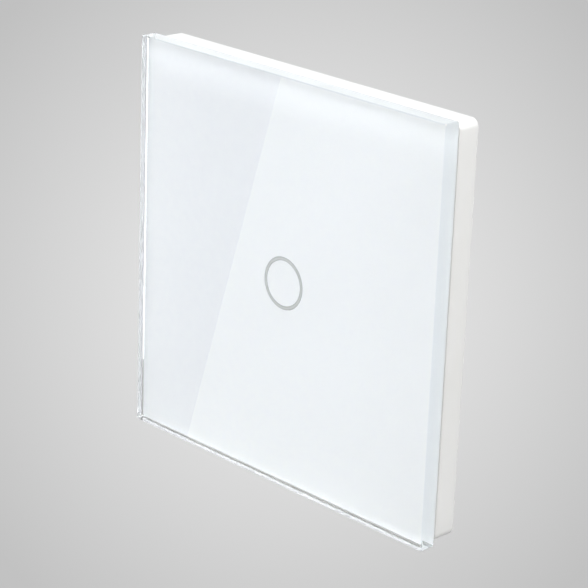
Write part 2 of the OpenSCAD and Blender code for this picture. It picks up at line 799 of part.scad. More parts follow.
module relay_armature() {
    color("gray") in_relay()
        translate([hinge_x - slide_gap, armature_y, relay_mid - relay_iron_w / 2])
            cube([armature_l, armature_t, relay_iron_w]);
}

module relay_blade() {
    blade_end = contact_x + contact_d / 2;
    color("goldenrod") in_relay() {
        translate([hinge_x + relay_iron_t, blade_y, relay_mid - blade_w / 2])
            cube([blade_end - hinge_x - relay_iron_t, blade_t, blade_w]);
        translate([contact_x, contact_y, relay_mid]) rotate([-90, 0, 0])
            cylinder(d = contact_d, h = contact_h + blade_t);
    }
}

module relay_fixed_contact() {
    post_w = contact_d + 2 * fit_gap;
    arm_t = relay_iron_t / 2;
    color("goldenrod") {
        in_relay() {
            translate([contact_x, fixed_y - contact_h, relay_mid]) rotate([-90, 0, 0])
                cylinder(d = contact_d, h = contact_h);
            translate([contact_x - contact_d / 2, fixed_y - contact_h - arm_t, relay_mid - post_w / 2])
                cube([fixed_post_x + relay_iron_t - contact_x + contact_d / 2, arm_t, post_w]);
            translate([fixed_post_x, relay_base_t, relay_mid - post_w / 2])
                cube([relay_iron_t, fixed_y - contact_h - relay_base_t, post_w]);
        }
        leads([fixed_lead], relay_base_t);
    }
}

module relay_pins() {
    color("silver") {
        leads([relay_leads[0], relay_leads[1]], relay_base_t + relay_iron_t);
        leads([relay_leads[2]], relay_base_t);
    }
}

module film_capacitor() {
    color("gold") {
        slab(y_power_back, y_power_back + film_size.z)
            translate([film_x, z_row1]) square([film_size.x, film_size.y]);
        leads(film_leads, part_gap);
    }
}

module bulk_capacitor() {
    groove = bulk_d / 16;
    r = bulk_d / 2;
    color("midnightblue") {
        translate([bulk_x, y_power_back, bulk_z]) rotate([-90, 0, 0]) rotate_extrude() polygon([
            [0, 0], [r - groove, 0], [r, groove], [r, 2 * groove], [r - groove, 3 * groove],
            [r, 4 * groove], [r, bulk_h - groove], [r - groove, bulk_h], [0, bulk_h]
        ]);
        leads(bulk_leads, part_gap);
    }
}

module varistor() {
    centre_y = y_power_back + lead_d + varistor_d / 2;
    color("steelblue") {
        translate([varistor_x + varistor_d / 2, centre_y, z_row2]) cylinder(d = varistor_d, h = varistor_t);
        leads(varistor_leads, lead_d + varistor_d / 2);
    }
}

module fuse() {
    color("saddlebrown") {
        slab(y_power_back, y_power_back + fuse_size.z)
            translate([fuse_x, z_row2]) square([fuse_size.x, fuse_size.y]);
        leads(fuse_leads, part_gap);
    }
}

module choke() {
    flange = choke_h / 7;
    r = choke_d / 2;
    color("darkslategray") {
        translate([choke_x, y_power_back, choke_z]) rotate([-90, 0, 0]) rotate_extrude() polygon([
            [0, 0], [r, 0], [r, flange], [r - flange / 2, flange],
            [r - flange / 2, choke_h - flange], [r, choke_h - flange], [r, choke_h], [0, choke_h]
        ]);
        leads(choke_leads, part_gap);
    }
}

module bridge_rectifier() {
    color("black") translate([bridge_at.x, y_power, bridge_at.y])
        mirror([0, 1, 0]) leaded_chip(bridge_size, 2, bridge_size.x / 2);
}

module converter_chip() {
    place = [film_x + film_size.x / 2, z_row2 - converter_size.y];
    color("black") translate([place.x, y_power, place.y])
        mirror([0, 1, 0]) leaded_chip(converter_size, 4, converter_size.x / 4);
}

// Terminals

module terminal_block() {
    color("darkgray") difference() {
        translate([-block_w / 2, y_power_back, z_block])
            cube([block_w, y_block - y_power_back, z_block_top - z_block]);
        for (t = terminals) translate([t * terminal_pitch, 0, 0]) terminal_cell();
    }
}

// Room for one cage, its bar and screw, with the wire entry and the screw well
module terminal_cell() {
    funnel_l = (funnel_d - wire_hole_d) / 2;
    translate([-cell_w / 2, y_power_back - through, z_cage - slide_gap])
        cube([cell_w, y_web - y_power_back + through, z_cell - z_cage + slide_gap]);
    translate([0, y_wire, z_block - through]) cylinder(d = wire_hole_d, h = block_face + 2 * through);
    translate([0, y_wire, z_block]) cylinder(d1 = funnel_d, d2 = wire_hole_d, h = funnel_l);
    translate([0, y_web - through, z_screw]) rotate([-90, 0, 0])
        cylinder(d = terminal_screw_d + 2 * pin_gap, h = web_t + 2 * through);
    translate([0, y_head, z_screw]) rotate([-90, 0, 0])
        cylinder(d = terminal_head_d + 2 * slide_gap, h = y_block - y_head + through);
}

module terminal_bars() {
    color("gold") for (t = terminals) translate([t * terminal_pitch - bar_w / 2, 0, 0]) {
        translate([0, y_bar, z_cage]) cube([bar_w, bar_t, z_leg + bar_t - z_cage]);
        translate([0, y_power - lead_stub, z_leg]) cube([bar_w, y_bar_back - y_power + lead_stub, bar_t]);
    }
}

// Brass loop round the terminal bar, threaded for its screw
module terminal_cage(t) {
    color("gold") translate([t * terminal_pitch, 0, 0]) difference() {
        translate([-cage_w / 2, y_cage, z_cage]) cube([cage_w, y_nut_back - y_cage, cage_l]);
        translate([-cage_w / 2 + cage_side, y_cage_floor, z_cage - through])
            cube([cage_w - 2 * cage_side, y_nut - y_cage_floor, cage_l + 2 * through]);
        translate([0, y_nut - through, z_screw]) rotate([-90, 0, 0])
            cylinder(d = terminal_screw_d + 2 * pin_gap, h = cage_nut + 2 * through);
    }
}

// Slotted screw that stays in place while its cage climbs along the thread
module terminal_screw(t) {
    tip = y_bar_back + pin_gap;
    color("silver") translate([t * terminal_pitch, 0, z_screw]) difference() {
        rotate([-90, 0, 0]) {
            translate([0, 0, tip]) cylinder(d = terminal_screw_d, h = y_head - tip + pin_gap);
            translate([0, 0, y_head + pin_gap]) cylinder(d = terminal_head_d, h = terminal_head_h);
        }
        translate([-terminal_head_d, y_head + pin_gap + terminal_head_h - driver_slot_d, -driver_slot_w / 2])
            cube([2 * terminal_head_d, driver_slot_d + through, driver_slot_w]);
    }
}

module live_cage() {
    terminal_cage(terminals[0]);
}

module neutral_cage() {
    terminal_cage(terminals[1]);
}

module load_cage() {
    terminal_cage(terminals[2]);
}

module live_screw() {
    terminal_screw(terminals[0]);
}

module neutral_screw() {
    terminal_screw(terminals[1]);
}

module load_screw() {
    terminal_screw(terminals[2]);
}

// Housing

module back_housing() {
    notch = block_w + 2 * slide_gap;
    color("whitesmoke") difference() {
        union() {
            difference() {
                slab(0, y_housing) polygon(outline(0));
                slab(-through, y_power_back) polygon(outline(housing_wall));
                slab(y_power, y_cavity) polygon(outline(cavity_inset));
            }
            slab(y_power_back, y_housing) intersection() {
                polygon(outline(0));
                translate([-notch / 2 - partition_t, z_block])
                    square([notch + 2 * partition_t, z_block_top + slide_gap + partition_t - z_block]);
            }
            slab(0, ear_t) difference() {
                for (c = corners) screw_ear(c);
                polygon(outline(housing_wall));
            }
        }
        slab(y_power_back, y_housing + through) translate([-notch / 2, z_block - through])
            square([notch, z_block_top + slide_gap + through - z_block]);
        slab(-through, ear_t + through)
            for (c = corners) translate(c * ear_at) circle(d = housing_screw_d + 2 * fit_gap);
    }
}

// Outline of one screw ear: a round end and a straight neck to the slanted wall
module screw_ear(c) {
    translate(c * ear_at) circle(ear_r);
    translate(c * ear_at) rotate(atan2(c.y, c.x) + 180) translate([0, -ear_r])
        square([ear_offset + housing_wall / 2, 2 * ear_r]);
}

module housing_screws() {
    shank_l = ear_t + yoke_t + housing_screw_bite;
    top = ear_t + housing_head_h;
    color("silver") for (c = corners) translate([c.x * ear_at, 0, c.y * ear_at]) difference() {
        rotate([-90, 0, 0]) {
            translate([0, 0, ear_t - shank_l]) cylinder(d = housing_screw_d, h = shank_l);
            translate([0, 0, ear_t]) cylinder(d = housing_head_d, h = housing_head_h);
        }
        for (k = [0, 1]) rotate([0, 90 * k, 0])
            translate([-cross_l / 2, top - cross_d, -cross_w / 2])
                cube([cross_l, cross_d + through, cross_w]);
    }
}

glass_panel();
enamel_backing();
touch_ring();
adhesive_tape();
panel_frame();
mounting_yoke();
front_cover();
light_guide();
touch_spring();
touch_board();
touch_chip();
indicator_leds();
chip_parts();
header_strip();
header_pins();
power_board();
relay_base();
relay_cover();
relay_yoke();
relay_bobbin();
relay_winding();
relay_armature();
relay_blade();
relay_fixed_contact();
relay_pins();
film_capacitor();
bulk_capacitor();
varistor();
fuse();
choke();
bridge_rectifier();
converter_chip();
terminal_block();
terminal_bars();
live_cage();
neutral_cage();
load_cage();
live_screw();
neutral_screw();
load_screw();
back_housing();
housing_screws();
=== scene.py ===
import math

import bmesh
import bpy
import numpy as np
from mathutils import Matrix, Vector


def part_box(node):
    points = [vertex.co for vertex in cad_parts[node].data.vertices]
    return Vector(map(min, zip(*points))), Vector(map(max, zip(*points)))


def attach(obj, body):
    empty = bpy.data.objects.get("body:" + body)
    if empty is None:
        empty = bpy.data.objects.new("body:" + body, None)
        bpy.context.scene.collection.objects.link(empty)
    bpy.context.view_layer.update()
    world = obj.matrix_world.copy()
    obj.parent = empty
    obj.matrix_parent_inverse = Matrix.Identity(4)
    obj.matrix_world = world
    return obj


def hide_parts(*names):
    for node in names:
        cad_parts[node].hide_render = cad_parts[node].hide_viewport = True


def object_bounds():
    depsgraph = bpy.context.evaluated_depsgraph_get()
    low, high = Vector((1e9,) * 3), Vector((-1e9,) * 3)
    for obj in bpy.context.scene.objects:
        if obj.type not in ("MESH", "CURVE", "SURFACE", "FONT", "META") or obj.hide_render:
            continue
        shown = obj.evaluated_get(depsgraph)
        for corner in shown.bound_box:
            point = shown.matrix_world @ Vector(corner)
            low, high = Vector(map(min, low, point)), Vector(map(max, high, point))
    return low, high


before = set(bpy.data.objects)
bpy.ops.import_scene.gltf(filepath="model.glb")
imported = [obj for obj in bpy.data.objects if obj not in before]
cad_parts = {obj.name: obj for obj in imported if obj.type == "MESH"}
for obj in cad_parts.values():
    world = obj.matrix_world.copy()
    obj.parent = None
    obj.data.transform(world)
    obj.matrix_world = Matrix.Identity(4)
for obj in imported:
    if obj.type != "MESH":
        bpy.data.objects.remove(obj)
cad_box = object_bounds()
scene = bpy.context.scene
scene.view_settings.view_transform = "Standard"
# What lies behind the glass stays as sharp as it is.
scene.cycles.blur_glossy = 0.0


# Camera
# A long lens stands to the right of the switch and a little above it, turned
# slightly about its own axis, so that glass front, top edge and right edge show.
MM = 0.001
view_azimuth, view_elevation, view_roll = np.radians([45.663, 19.666, 2.132])
view_distance = 465.63
view_offset = (-3.436, -3.727)
focal_pixels = 2289.4
picture_pixels = 588
sensor_width = 36

level = np.array([math.cos(view_azimuth), math.sin(view_azimuth), 0])
view_back = np.array([
    math.sin(view_azimuth) * math.cos(view_elevation),
    -math.cos(view_azimuth) * math.cos(view_elevation),
    math.sin(view_elevation),
])
upright = np.cross(view_back, level)
view_right = math.cos(view_roll) * level + math.sin(view_roll) * upright
view_up = math.cos(view_roll) * upright - math.sin(view_roll) * level
eye = view_offset[0] * view_right + view_offset[1] * view_up + view_distance * view_back


def placed(place, x_axis, y_axis, z_axis):
    """Matrix with the three axes as its columns and a place given in millimetres."""
    matrix = np.eye(4)
    matrix[:3] = np.column_stack([x_axis, y_axis, z_axis, np.asarray(place) * MM])
    return Matrix(matrix.tolist())


camera = bpy.data.objects.new("camera", bpy.data.cameras.new("camera"))
camera.data.sensor_width = sensor_width
camera.data.lens = focal_pixels / picture_pixels * sensor_width
camera.matrix_world = placed(eye, view_right, view_up, view_back)
scene.collection.objects.link(camera)
scene.camera = camera


# Studio floor and room
# A wide sheet of pale grey paper lies well below the switch, which hangs free above it.
# It fades into the grey of the room round it, so that no horizon shows.
floor_depth, floor_radius = 620, 9000
floor_rings, floor_spokes = 40, 96
# Middle and edge tones of the painted pool of light on the paper, and the paper's own grey.
painted_pool_centre, painted_pool_edge, paper_shade = "#F9F9F9", "#C8C8C8", "#8C8C8C"
room_grey, room_strength = "#D2D3D5", 0.52
paper_far = "#A3A4A5"
fade_from, fade_to = 3600, 5400
# Reach of the painted pool of light, in pixels of the picture.
painted_pool_radius = 400
glow_share = 0.9


def srgb(colour):
    """Linear red, green, blue and alpha of an sRGB hex value, by the sRGB curve."""
    part = np.array([int(colour[i:i + 2], 16) for i in (1, 3, 5)]) / 255
    linear = np.where(part <= 0.04045, part / 12.92, ((part + 0.055) / 1.055) ** 2.4)
    return (*linear.tolist(), 1.0)


def add_node(tree, kind, inputs=None, stops=None, **settings):
    """Adds a shader node: settings are its properties, inputs its sockets' values or
    the sockets that feed them, and stops the places and colours of a colour ramp."""
    made = tree.nodes.new(kind)
    for name, value in settings.items():
        setattr(made, name, value)
    for name, value in (inputs or {}).items():
        if isinstance(value, bpy.types.NodeSocket):
            tree.links.new(value, made.inputs[name])
        else:
            made.inputs[name].default_value = value
    if stops:
        ramp = made.color_ramp.elements
        while len(ramp) < len(stops):
            ramp.new(1.0)
        for stop, (position, colour) in zip(ramp, stops):
            stop.position, stop.color = position, srgb(colour)
    return made


def finish(name, **sockets):
    """New material with one Principled shader, set from sockets. Returns the material,
    its tree, the shader, and a socket of Object coordinates in millimetres."""
    made = bpy.data.materials.new(name)
    made.use_nodes = True
    tree = made.node_tree
    shader = tree.nodes["Principled BSDF"]
    for socket, value in sockets.items():
        shader.inputs[socket.replace("_", " ")].default_value = value
    place = add_node(tree, "ShaderNodeTexCoord").outputs["Object"]
    scaled = add_node(tree, "ShaderNodeMapping", {"Vector": place, "Scale": (1 / MM,) * 3})
    return made, tree, shader, scaled.outputs["Vector"]


def skin(rings, looped=False):
    """Points and faces through closed rings of equal count: each face joins points i and
    i + 1 of a ring to the same two of the next, and the end rings are closed by one flat
    face each, or joined to each other where the surface is looped."""
    index = np.arange(rings.shape[0] * rings.shape[1]).reshape(rings.shape[:2])
    lower = index if looped else index[:-1]
    upper = np.roll(index, -1, axis=0) if looped else index[1:]
    quads = np.stack(
        [lower, np.roll(lower, -1, axis=1), np.roll(upper, -1, axis=1), upper], axis=-1)
    faces = quads.reshape(-1, 4).tolist()
    if not looped:
        faces += [index[0].tolist(), index[-1].tolist()]
    return rings.reshape(-1, 3), faces


def mesh_object(name, shells, material, sharp=30):
    """Object of several closed skins in millimetres, faces turned outwards, shaded
    smooth below the sharp angle in degrees."""
    start = np.cumsum([0] + [len(points) for points, _ in shells])
    faces = [[corner + first for corner in face]
             for (_, part), first in zip(shells, start.tolist()) for face in part]
    mesh = bpy.data.meshes.new(name)
    mesh.from_pydata(np.concatenate([points for points, _ in shells]) * MM, [], faces)
    work = bmesh.new()
    work.from_mesh(mesh)
    bmesh.ops.recalc_face_normals(work, faces=work.faces)
    work.to_mesh(mesh)
    work.free()
    mesh.shade_smooth()
    mesh.set_sharp_from_angle(angle=math.radians(sharp))
    mesh.materials.append(material)
    made = bpy.data.objects.new(name, mesh)
    scene.collection.objects.link(made)
    return made


# Matt seamless paper that glows in a painted tone to camera, glossy and transmission
# rays: a painted pool of light, lighter grey round the line of sight, and the far paper
# takes the room's tone. Little of its light goes back up, so that the lower edges of the
# switch stay in shade.
paper, tree, shader, place = finish(
    "seamless_paper", Roughness=0.9, Base_Color=srgb(paper_shade))
turned = Matrix(np.stack([view_right, view_up, view_back]).tolist()).to_euler()
axis_place = add_node(tree, "ShaderNodeMapping", {"Vector": place, "Rotation": turned})
far = add_node(tree, "ShaderNodeSeparateXYZ", {"Vector": axis_place.outputs["Vector"]})
depth = add_node(
    tree, "ShaderNodeMath", {0: view_distance, 1: far.outputs["Z"]}, operation="SUBTRACT")
spread = add_node(
    tree, "ShaderNodeMath", {0: focal_pixels / painted_pool_radius, 1: depth.outputs[0]},
    operation="DIVIDE")
flat_place = add_node(
    tree, "ShaderNodeVectorMath",
    {0: axis_place.outputs["Vector"], "Scale": spread.outputs[0]}, operation="SCALE")
flat_place = add_node(
    tree, "ShaderNodeVectorMath", {0: flat_place.outputs[0], 1: (1, 1, 0)},
    operation="MULTIPLY")
# Painted pool of light: the paper is lighter round the line of sight, darker away from it.
painted_light_pool = add_node(
    tree, "ShaderNodeTexGradient", {"Vector": flat_place.outputs[0]},
    gradient_type="SPHERICAL")
painted_pool_tone = add_node(
    tree, "ShaderNodeValToRGB", {"Fac": painted_light_pool.outputs["Fac"]},
    [(0.0, painted_pool_edge), (1.0, painted_pool_centre)])
ray = add_node(tree, "ShaderNodeLightPath").outputs
seen = add_node(
    tree, "ShaderNodeMath", {0: ray["Is Camera Ray"], 1: ray["Is Glossy Ray"]},
    operation="MAXIMUM")
seen = add_node(
    tree, "ShaderNodeMath", {0: seen.outputs[0], 1: ray["Is Transmission Ray"]},
    operation="MAXIMUM")
share = add_node(
    tree, "ShaderNodeMath", {0: seen.outputs[0], 1: glow_share}, operation="MULTIPLY")
out = add_node(tree, "ShaderNodeVectorMath", {0: place}, operation="LENGTH")
fade = add_node(
    tree, "ShaderNodeMapRange",
    {"Value": out.outputs["Value"], "From Min": fade_from, "From Max": fade_to},
    interpolation_type="SMOOTHSTEP")
faded = add_node(
    tree, "ShaderNodeMixRGB",
    {"Fac": fade.outputs["Result"], "Color1": painted_pool_tone.outputs["Color"],
     "Color2": srgb(paper_far)})
glow = add_node(tree, "ShaderNodeEmission", {"Color": faded.outputs["Color"]})
both = add_node(
    tree, "ShaderNodeMixShader",
    {0: share.outputs[0], 1: shader.outputs["BSDF"], 2: glow.outputs["Emission"]})
tree.links.new(both.outputs["Shader"], tree.nodes["Material Output"].inputs["Surface"])

spoke = np.linspace(0, 2 * np.pi, floor_spokes, endpoint=False)
reach = floor_radius * (np.arange(1, floor_rings + 1) / floor_rings) ** 2
floor_rings_at = np.stack([
    reach[:, None] * np.cos(spoke), reach[:, None] * np.sin(spoke),
    np.full((floor_rings, floor_spokes), -floor_depth)], axis=-1)
points, faces = skin(floor_rings_at)
floor = mesh_object("studio_floor", [(points, faces[:-1])], paper)

# Painted room: an even grey, the tone that the floor fades into.
world = bpy.data.worlds.new("studio_room")
world.use_nodes = True
tree = world.node_tree
tree.nodes["Background"].inputs["Color"].default_value = srgb(room_grey)
tree.nodes["Background"].inputs["Strength"].default_value = room_strength
scene.world = world


# Studio lamps
# A soft lamp hangs above in front of the switch, and weaker ones stand at its left, its
# right and behind it. A pale card leans at the lower left, and its edge shows in the glass.
lamp_stands = {
    "overhead_lamp": ((150, -920, 1136), (570, 570), 10.5, "#FBFDFF"),
    "left_lamp": ((-900, -350, 300), (700, 700), 2.7, "#FFFFFF"),
    "right_lamp": ((690, 10, 420), (420, 520), 5.2, "#FFFEFC"),
    "back_lamp": ((-640, 625, 330), (700, 360), 0.7, "#FFFFFF"),
    "rear_lamp": ((-150, 1000, -60), (700, 700), 1.3, "#FFFFFF"),
}
glass_face = cad_box[0][1] / MM
glint_ends = np.array([[-0.62, glass_face, 43.63], [-26.18, glass_face, -41.87]])
card_distance, card_size = 900, (1500, 800)
card_radiance, card_colour = 0.78, "#FBFFEE"


def soft_lamp(name, matrix, size, radiance, colour):
    """Rectangular lamp, millimetres in size. A rectangle's radiance is its power over
    four times its area."""
    lamp = bpy.data.objects.new(name, bpy.data.lights.new(name, "AREA"))
    lamp.data.shape = "RECTANGLE"
    lamp.data.size, lamp.data.size_y = size[0] * MM, size[1] * MM
    lamp.data.energy = radiance * 4 * lamp.data.size * lamp.data.size_y
    lamp.data.color = srgb(colour)[:3]
    lamp.matrix_world = matrix
    lamp.visible_camera = False
    scene.collection.objects.link(lamp)


def facing(place):
    """Matrix of a lamp at a place in millimetres that shines at the origin: its third
    axis points away from the origin, and its first stays level."""
    away = np.asarray(place) / np.linalg.norm(place)
    across = np.cross([0, 1, 0] if abs(away[2]) > 0.9 else [0, 0, 1], away)
    across = across / np.linalg.norm(across)
    return placed(place, across, np.cross(away, across), away)


for lamp_name, (stand, lamp_size, radiance, lamp_colour) in lamp_stands.items():
    soft_lamp(lamp_name, facing(stand), lamp_size, radiance, lamp_colour)

glint_rays = glint_ends - eye
glint_rays = glint_rays / np.linalg.norm(glint_rays, axis=1)[:, None] * [1, -1, 1]
card_edge = glint_ends + card_distance * glint_rays
edge_way = card_edge[0] - card_edge[1]
edge_way = edge_way / np.linalg.norm(edge_way)
card_away = glint_rays.sum(axis=0)
card_away = card_away - card_away.dot(edge_way) * edge_way
card_away = card_away / np.linalg.norm(card_away)
card_out = np.cross(edge_way, card_away)
card_middle = card_edge.mean(axis=0) + card_out * card_size[1] / 2
soft_lamp("pale_card", placed(card_middle, -edge_way, card_out, card_away), card_size,
          card_radiance, card_colour)


# Glass panel
# A square of 3.6 mm clear float glass, cut, ground to a small bevel all round and
# polished. Everything else of the panel is fixed to its back.
glass_corner, glass_bevel = 0.4, 0.2
ground_edge = 0.01


def measured(node):
    """Width, front and back of a CAD node in millimetres, from its box."""
    low, high = np.array(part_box(node)) / MM
    return high[0] - low[0], low[1], high[1]


glass_side, glass_front, glass_back = measured("glass_panel")


def rounded_outline(width, height, radius, steps=10):
    """Rounded rectangle in X and Z, anticlockwise from the right: each corner's centre
    plus the radius times (cos, sin) of angles through a quarter turn."""
    quarter = np.radians(np.linspace(0, 90, steps + 1))
    angle = quarter[None, :] + np.radians([[0], [90], [180], [270]])
    centre = np.array([[1, 1], [-1, 1], [-1, -1], [1, -1]])
    centre = centre * [width / 2 - radius, height / 2 - radius]
    arc = radius * np.stack([np.cos(angle), np.sin(angle)], axis=-1)
    return (centre[:, None, :] + arc).reshape(-1, 2)


def at_depth(outline, depth):
    """The X-Z outline as points in space at a depth along Y."""
    return np.stack([outline[:, 0], np.full(len(outline), depth), outline[:, 1]], axis=-1)


def square_ring(side, radius, inset, depth):
    """Ring of a rounded square drawn in by an inset, at a depth along Y."""
    side = side - 2 * inset
    return at_depth(rounded_outline(side, side, radius - inset), depth)


def dress(node, material):
    """Gives a CAD node its finish."""
    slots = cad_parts[node].data.materials
    slots.clear()
    slots.append(material)


def fit(piece, node, body):
    """The piece stands for a CAD node, which is hidden, and moves with a body."""
    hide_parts(node)
    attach(piece, body)


# Soda-lime float glass: clear with a breath of green in its depth, fire-polished faces,
# and a ground and polished edge that lets a little less light through than they do.
soda_lime_glass, tree, shader, place = finish(
    "soda_lime_glass", IOR=1.52, Transmission_Weight=1.0, Roughness=0.0)
from_axis = add_node(tree, "ShaderNodeVectorMath", {0: place}, operation="ABSOLUTE")
sides = add_node(tree, "ShaderNodeSeparateXYZ", {"Vector": from_axis.outputs[0]}).outputs
furthest = add_node(
    tree, "ShaderNodeMath", {0: sides["X"], 1: sides["Z"]}, operation="MAXIMUM")
edge = add_node(
    tree, "ShaderNodeMapRange",
    {"Value": furthest.outputs[0], "From Min": glass_side / 2 - glass_bevel - ground_edge,
     "From Max": glass_side / 2 - glass_bevel})
ground = add_node(
    tree, "ShaderNodeValToRGB", {"Fac": edge.outputs["Result"]},
    [(0.0, "#FFFFFF"), (1.0, "#F3F7F6")])
tree.links.new(ground.outputs["Color"], shader.inputs["Base Color"])
depth_tint = add_node(
    tree, "ShaderNodeVolumeAbsorption", {"Color": srgb("#DDEFEE"), "Density": 4.0})
tree.links.new(depth_tint.outputs["Volume"], tree.nodes["Material Output"].inputs["Volume"])

glass_rings = np.stack([
    square_ring(glass_side, glass_corner, glass_bevel, glass_front),
    square_ring(glass_side, glass_corner, 0, glass_front + glass_bevel),
    square_ring(glass_side, glass_corner, 0, glass_back - glass_bevel),
    square_ring(glass_side, glass_corner, glass_bevel, glass_back)])
glass = mesh_object("clear_glass", [skin(glass_rings)], soda_lime_glass)
fit(glass, "glass_panel", "panel")


# Enamel backing
# White ceramic enamel, screen printed on the back of the glass and fired. It stops short
# of the edge and leaves a ring open round the touch point. It wets the glass, so it lies
# a trace inside it.
_, _, enamel_back = measured("enamel_backing")
enamel_inset, enamel_corner = 0.35, 0.15
enamel_side = glass_side - 2 * enamel_inset
optical_contact = 0.02
ring_outer, ring_inner = 5.55, 4.75
ring_steps = 96
cloud_width = 2


def outline_at(outline, angles):
    """Points where rays from the centre at these angles meet an outline: on the side
    from p to q, at the distance cross(p, q - p) / cross(ray, q - p)."""
    corner = np.arctan2(outline[:, 1], outline[:, 0]) % (2 * np.pi)
    order = np.argsort(corner)
    start = outline[order]
    along = np.roll(start, -1, axis=0) - start
    side = np.searchsorted(corner[order], angles % (2 * np.pi), side="right") - 1
    ray = np.stack([np.cos(angles), np.sin(angles)], axis=-1)
    across = start[side, 0] * along[side, 1] - start[side, 1] * along[side, 0]
    turned_by = ray[:, 0] * along[side, 1] - ray[:, 1] * along[side, 0]
    return ray * (across / turned_by)[:, None]


def outline_angles(*outlines):
    """Angles of all the corners of some outlines and of an even division, in order."""
    even = np.linspace(0, 2 * np.pi, ring_steps, endpoint=False)
    corners = [np.arctan2(outline[:, 1], outline[:, 0]) % (2 * np.pi) for outline in outlines]
    return np.unique(np.round(np.concatenate([even, *corners]), 6))


def circle(radius, angles=np.linspace(0, 2 * np.pi, ring_steps, endpoint=False)):
    """Points of a circle in X and Z at some angles."""
    return radius * np.stack([np.cos(angles), np.sin(angles)], axis=-1)


# Fired white enamel: dense cool white, matt inside the glass. The screen's mesh of
# 0.12 mm leaves a barely seen unevenness, drawn 2 mm wide so that it can show.
white_enamel, tree, shader, place = finish("white_enamel", Roughness=0.6, IOR=1.1)
unevenness = add_node(
    tree, "ShaderNodeTexNoise", {"Vector": place, "Scale": 1 / cloud_width, "Detail": 3.0})
white = add_node(
    tree, "ShaderNodeValToRGB", {"Fac": unevenness.outputs["Fac"]},
    [(0.3, "#F8F9FD"), (0.7, "#FAFBFE")])
tree.links.new(white.outputs["Color"], shader.inputs["Base Color"])

enamel_outline = rounded_outline(enamel_side, enamel_side, enamel_corner)
enamel_angles = outline_angles(enamel_outline)
enamel_outer = outline_at(enamel_outline, enamel_angles)
enamel_front = glass_back - optical_contact
field_rings = np.stack([
    at_depth(enamel_outer, enamel_front),
    at_depth(circle(ring_outer, enamel_angles), enamel_front),
    at_depth(circle(ring_outer, enamel_angles), enamel_back),
    at_depth(enamel_outer, enamel_back)])
spot_rings = np.stack([
    at_depth(circle(ring_inner), enamel_front), at_depth(circle(ring_inner), enamel_back)])
enamel = mesh_object(
    "white_print", [skin(field_rings, looped=True), skin(spot_rings)], white_enamel)
fit(enamel, "enamel_backing", "panel")


# Touch ring
# A thin translucent grey ink fills the open ring, so that the lamp behind shines through.
# It is printed after the white, and painted shade darkens it along both edges.
ink_outer, ink_inner = 5.5, 4.8

# Translucent screen ink: mid grey, with painted shade darker along its two edges.
ring_ink, tree, shader, place = finish("translucent_ring_ink", Roughness=0.6, IOR=1.1)
flat = add_node(
    tree, "ShaderNodeVectorMath", {0: place, 1: (1, 0, 1)}, operation="MULTIPLY")
from_middle = add_node(
    tree, "ShaderNodeVectorMath", {0: flat.outputs[0]}, operation="LENGTH")
band = add_node(
    tree, "ShaderNodeMapRange",
    {"Value": from_middle.outputs["Value"], "From Min": ink_inner, "From Max": ink_outer})
# Painted shade: the ink is darker along both edges of the ring than in its middle.
ink_and_painted_edge_shade = add_node(
    tree, "ShaderNodeValToRGB", {"Fac": band.outputs["Result"]},
    [(0.0, "#A6A7A8"), (0.3, "#C8C9CA"), (0.7, "#C8C9CA"), (1.0, "#A4A5A6")])
tree.links.new(ink_and_painted_edge_shade.outputs["Color"], shader.inputs["Base Color"])

ink_rings = np.stack([
    at_depth(circle(ink_outer), enamel_front), at_depth(circle(ink_inner), enamel_front),
    at_depth(circle(ink_inner), enamel_back), at_depth(circle(ink_outer), enamel_back)])
ink_ring = mesh_object("grey_ring", [skin(ink_rings, looped=True)], ring_ink)
fit(ink_ring, "touch_ring", "panel")


# Adhesive tape
# A frame of grey closed-cell foam tape, die cut, sticks the glass to the plastic frame.
# It is set in from their edges, behind the shadow gap that runs round the panel.
gap_width, gap_depth = 0.5, 0.28
tape_width, tape_corner, hole_corner = 5, 1.1, 0.01
cell_width, cell_depth = 0.4, 0.05
tape_cut_side, tape_front, tape_back = measured("adhesive_tape")
tape_side = tape_cut_side - 2 * gap_width
tape_inner = tape_cut_side - 2 * tape_width

# Polyethylene foam: dull mid grey with fine cells, drawn 0.4 mm wide.
foam_tape, tree, shader, place = finish("polyethylene_foam", Roughness=0.85)
cells = add_node(tree, "ShaderNodeTexVoronoi", {"Vector": place, "Scale": 1 / cell_width})
grey_foam = add_node(
    tree, "ShaderNodeValToRGB", {"Fac": cells.outputs["Distance"]},
    [(0.0, "#6A6C6E"), (0.8, "#7E8082")])
dents = add_node(
    tree, "ShaderNodeBump",
    {"Height": cells.outputs["Distance"], "Strength": 0.5, "Distance": cell_depth * MM})
tree.links.new(grey_foam.outputs["Color"], shader.inputs["Base Color"])
tree.links.new(dents.outputs["Normal"], shader.inputs["Normal"])

tape_outline = rounded_outline(tape_side, tape_side, tape_corner)
tape_hole = rounded_outline(tape_inner, tape_inner, hole_corner, 1)
tape_angles = outline_angles(tape_outline, tape_hole)
tape_rings = np.stack([
    at_depth(outline_at(tape_outline, tape_angles), tape_front),
    at_depth(outline_at(tape_hole, tape_angles), tape_front),
    at_depth(outline_at(tape_hole, tape_angles), tape_back),
    at_depth(outline_at(tape_outline, tape_angles), tape_back)])
tape = mesh_object("foam_tape", [skin(tape_rings, looped=True)], foam_tape)
fit(tape, "adhesive_tape", "panel")


